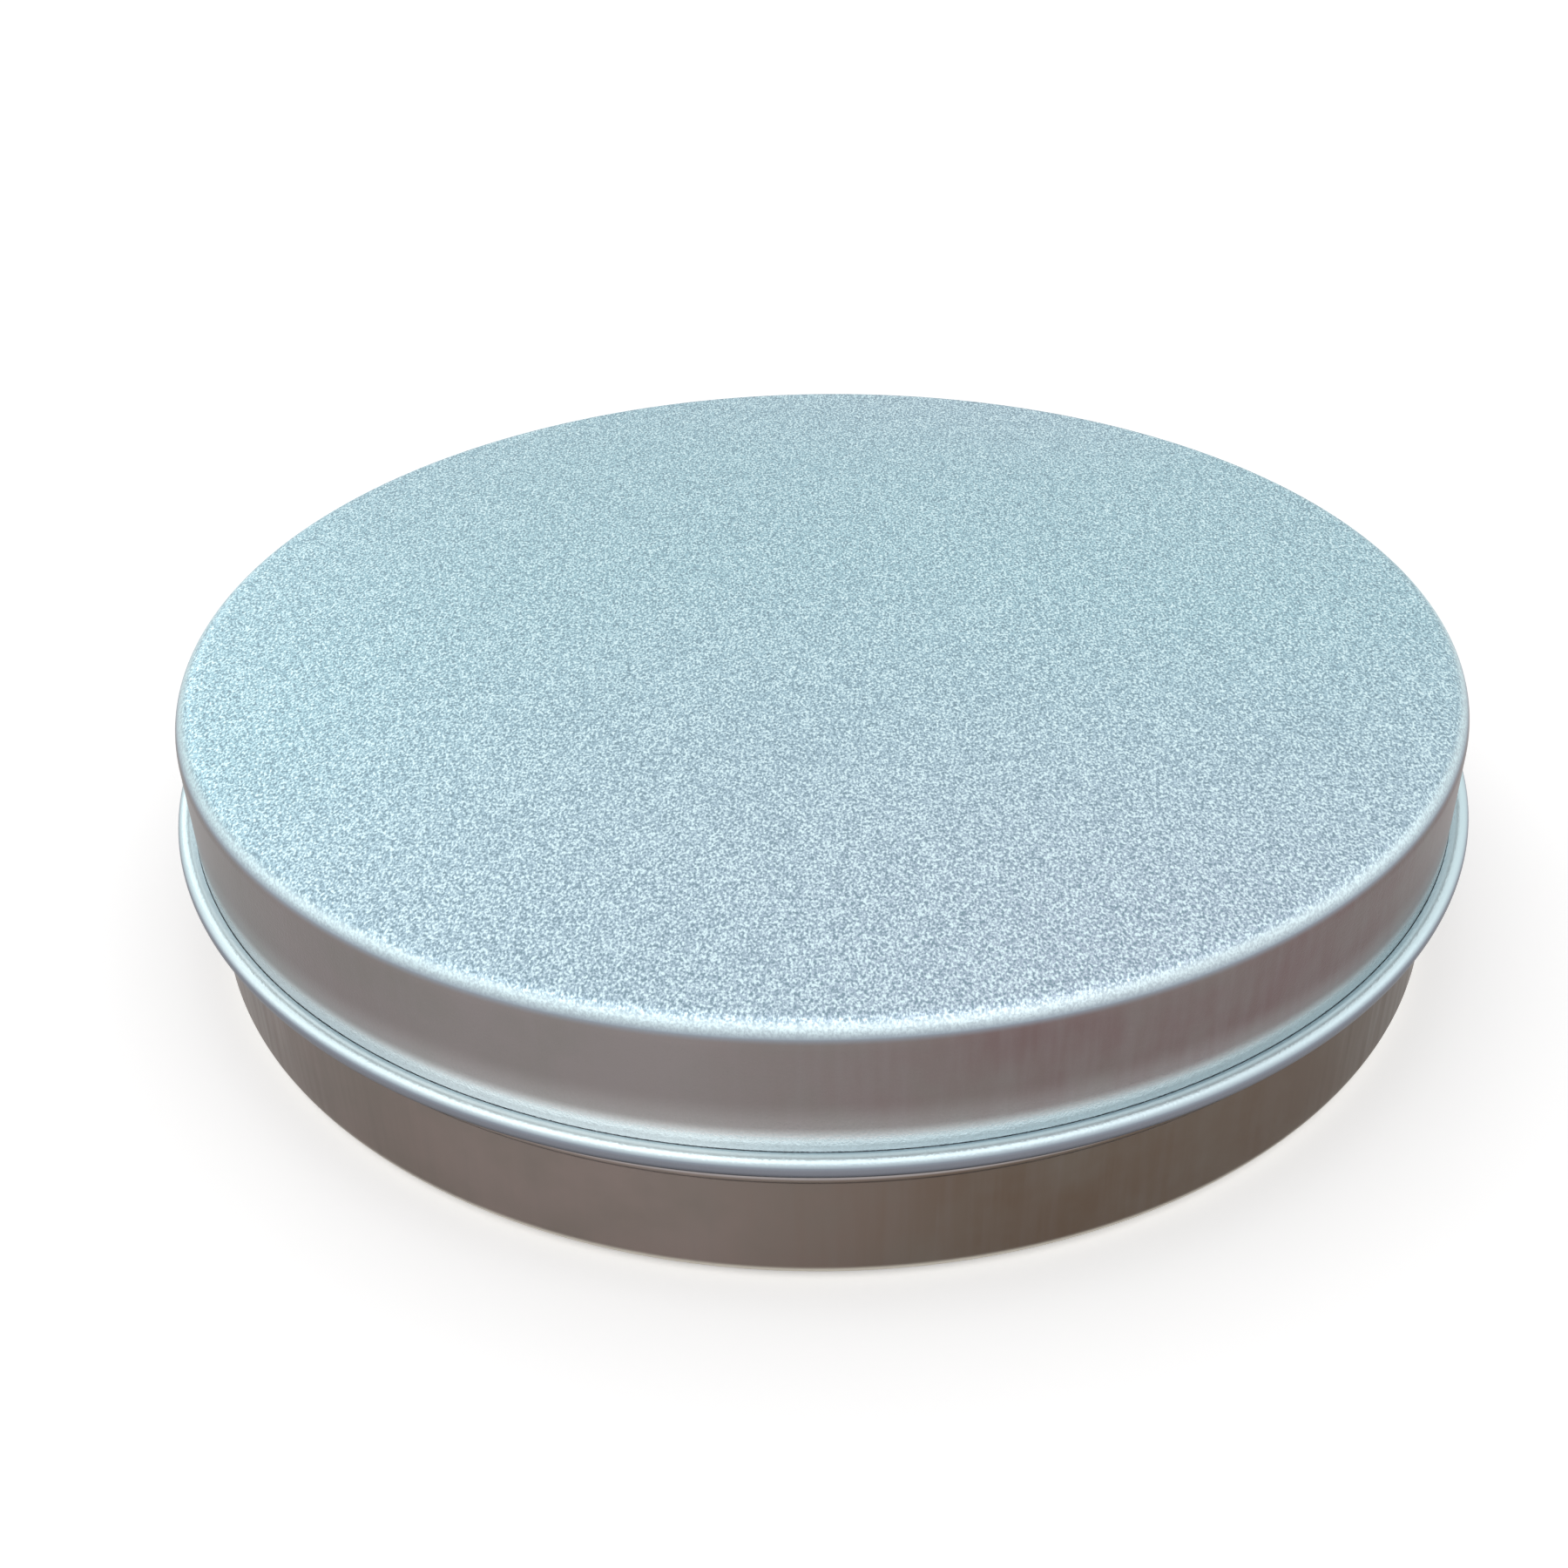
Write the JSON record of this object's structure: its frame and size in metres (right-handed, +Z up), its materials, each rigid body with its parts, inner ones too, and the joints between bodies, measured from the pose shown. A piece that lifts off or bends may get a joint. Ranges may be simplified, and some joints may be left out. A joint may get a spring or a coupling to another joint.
{
  "type": "round slip-lid tin",
  "caption": "Shallow round tinplate box with a flat slip-on lid, rolled lid rim and plain straight walls, shown closed.",
  "frame": {"origin": "centre of the base's underside, on the surface the tin stands on", "axes": "+Z up through the lid along the tin's axis; X and Y are alike, because the tin is round"},
  "size_m": [0.1028, 0.1028, 0.0215],
  "materials": {
    "base_tinplate": "satin tinplate",
    "lid_tinplate": "finely frosted tinplate"
  },
  "bodies": {
    "base": {"base": "base_tinplate"},
    "lid": {"lid": "lid_tinplate"}
  },
  "joints": [
    {"name": "lid_lift", "type": "slide", "parent": "base", "child": "lid", "axis": [0, 0, 1], "range_m": [0, 0.03]}
  ]
}
